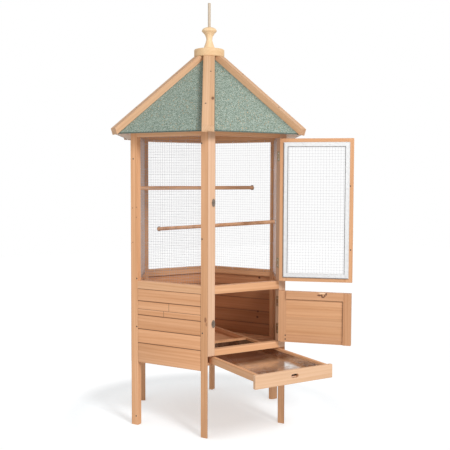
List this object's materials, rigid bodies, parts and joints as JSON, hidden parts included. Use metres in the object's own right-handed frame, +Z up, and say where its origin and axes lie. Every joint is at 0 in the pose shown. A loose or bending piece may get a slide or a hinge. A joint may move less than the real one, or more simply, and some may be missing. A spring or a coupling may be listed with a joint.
{
  "type": "bird cage",
  "caption": "Hexagonal wooden aviary on legs with a felted pointed roof, wire mesh sides, a mesh door over a boarded door, perches and a pull-out tray.",
  "frame": {"origin": "on the cage's upright axis, on the floor between its legs", "axes": "+Z up along the axis of the hexagon, -Y out through the door panel, +X to the hinge side of the doors"},
  "size_m": [0.78, 0.9149, 1.5557],
  "materials": {
    "fir_wood": "matt stained fir",
    "pale_pine": "matt pale pine",
    "dowel": "bare dowel",
    "roofing_felt": "green mineral felt",
    "galvanised_mesh": "galvanised welded mesh",
    "edging_strip": "matt pale strip",
    "galvanised_tray": "smooth galvanised sheet",
    "zinc_hardware": "zinc plated"
  },
  "bodies": {
    "cage": {"left_back_stiles": "fir_wood", "left_back_rails": "fir_wood", "left_back_boards": "fir_wood", "left_back_mesh": "galvanised_mesh", "left_front_stiles": "fir_wood", "left_front_rails": "fir_wood", "left_front_boards": "fir_wood", "left_front_mesh": "galvanised_mesh", "right_front_stiles": "fir_wood", "right_front_rails": "fir_wood", "right_front_boards": "fir_wood", "right_front_mesh": "galvanised_mesh", "right_back_stiles": "fir_wood", "right_back_rails": "fir_wood", "right_back_boards": "fir_wood", "right_back_mesh": "galvanised_mesh", "back_stiles": "fir_wood", "back_rails": "fir_wood", "back_boards": "fir_wood", "back_mesh": "galvanised_mesh", "front_stiles": "fir_wood", "front_rails": "fir_wood", "roof_panel_left_back": "fir_wood", "roof_felt_left_back": "roofing_felt", "roof_panel_left_front": "fir_wood", "roof_felt_left_front": "roofing_felt", "roof_panel_front": "fir_wood", "roof_felt_front": "roofing_felt", "roof_panel_right_front": "fir_wood", "roof_felt_right_front": "roofing_felt", "roof_panel_right_back": "fir_wood", "roof_felt_right_back": "roofing_felt", "roof_panel_back": "fir_wood", "roof_felt_back": "roofing_felt", "hip_battens": "fir_wood", "cap_disc": "pale_pine", "finial": "pale_pine", "spike": "dowel", "upper_perch": "fir_wood", "lower_perch": "fir_wood", "frame_hinge_leaves": "zinc_hardware", "hinge_pins": "zinc_hardware", "turn_button_screws": "zinc_hardware", "floor_planks": "fir_wood", "floor_bearers": "fir_wood", "drawer_guides": "fir_wood"},
    "mesh_door": {"mesh_door_stiles": "fir_wood", "mesh_door_rails": "fir_wood", "mesh_door_mesh": "galvanised_mesh", "mesh_door_edging": "edging_strip", "mesh_door_hinge_leaves": "zinc_hardware"},
    "lower_door": {"lower_door_frame": "fir_wood", "lower_door_boards": "fir_wood", "lower_door_hinge_leaves": "zinc_hardware"},
    "drawer": {"drawer_front": "fir_wood", "drawer_walls": "fir_wood", "drawer_bottom": "fir_wood", "drawer_tray": "galvanised_tray"},
    "upper_turn_button_body": {"upper_turn_button": "zinc_hardware"},
    "lower_turn_button_body": {"lower_turn_button": "zinc_hardware"}
  },
  "joints": [
    {"name": "mesh_door_hinge", "type": "hinge", "parent": "cage", "child": "mesh_door", "pos_m": [0.1315, -0.28293, 0.7875], "axis": [0, 0, 1], "range_deg": [-139, 41]},
    {"name": "lower_door_hinge", "type": "hinge", "parent": "cage", "child": "lower_door", "pos_m": [0.1315, -0.28293, 0.406], "axis": [0, 0, 1], "range_deg": [-134, 46]},
    {"name": "drawer_slide", "type": "slide", "parent": "cage", "child": "drawer", "axis": [0, -1, 0], "range_m": [-0.287, 0.15]},
    {"name": "upper_turn_button_pivot", "type": "hinge", "parent": "cage", "child": "upper_turn_button_body", "pos_m": [-0.14, -0.28003, 0.816], "axis": [0, -1, 0], "continuous": true},
    {"name": "lower_turn_button_pivot", "type": "hinge", "parent": "cage", "child": "lower_turn_button_body", "pos_m": [-0.14, -0.28003, 0.399], "axis": [0, -1, 0], "continuous": true}
  ]
}
